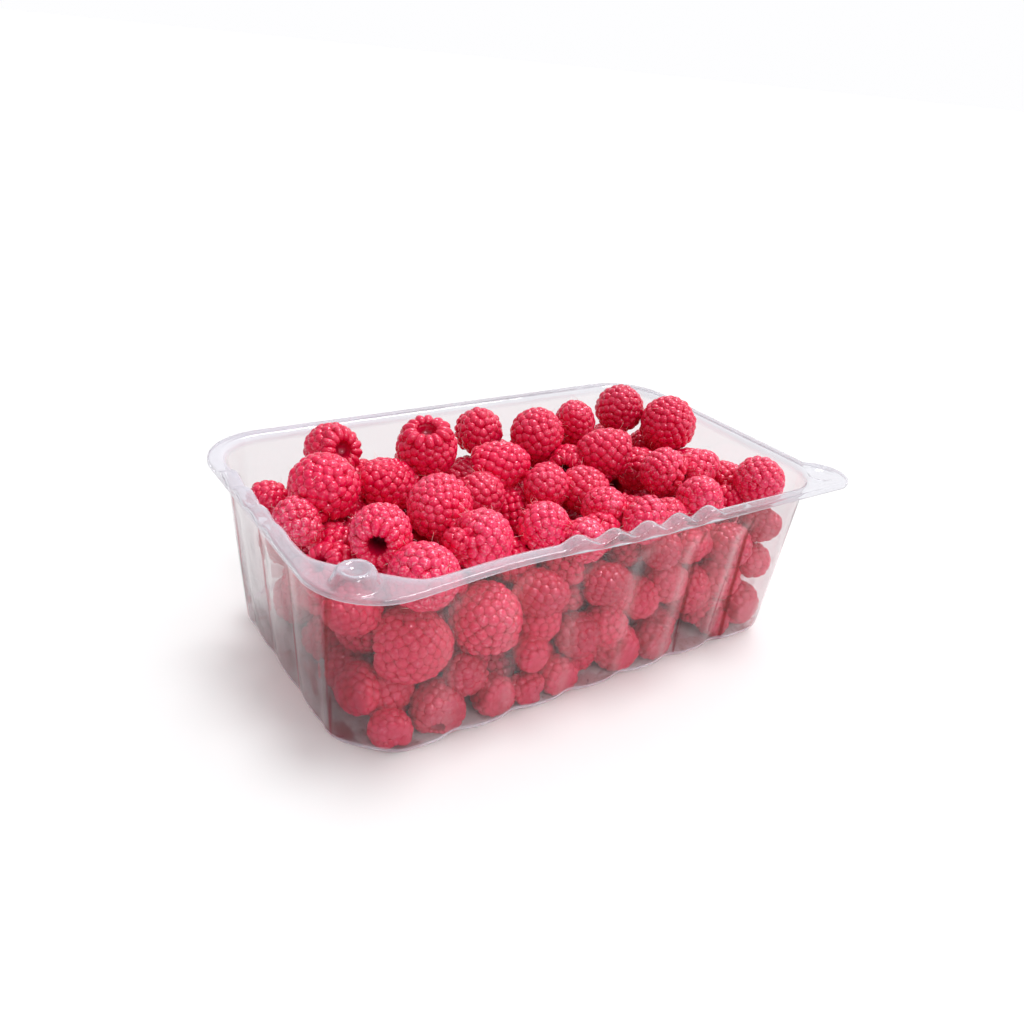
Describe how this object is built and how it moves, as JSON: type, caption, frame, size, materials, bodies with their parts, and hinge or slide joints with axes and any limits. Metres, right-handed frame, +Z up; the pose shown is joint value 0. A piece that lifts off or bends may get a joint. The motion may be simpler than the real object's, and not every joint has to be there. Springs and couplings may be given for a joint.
{
  "type": "punnet of raspberries",
  "caption": "Clear plastic fruit punnet with pleated walls, wavy vented rim and grip tab, heaped with fresh raspberries.",
  "frame": {"origin": "middle of the underside of the base, which the punnet rests on", "axes": "+Z up, +X along the length towards the end with the grip tab, +Y across the width towards the back"},
  "size_m": [0.1964, 0.116, 0.0696],
  "materials": {
    "clear_sheet": "thin clear thermoformed sheet, smooth and glossy, slightly hazed, with juice smears inside",
    "berry": "ripe raspberry, moist drupelets with a faint pale down and fine hairs"
  },
  "bodies": {
    "root": {"punnet": "clear_sheet", "raspberries": "berry"}
  },
  "joints": []
}
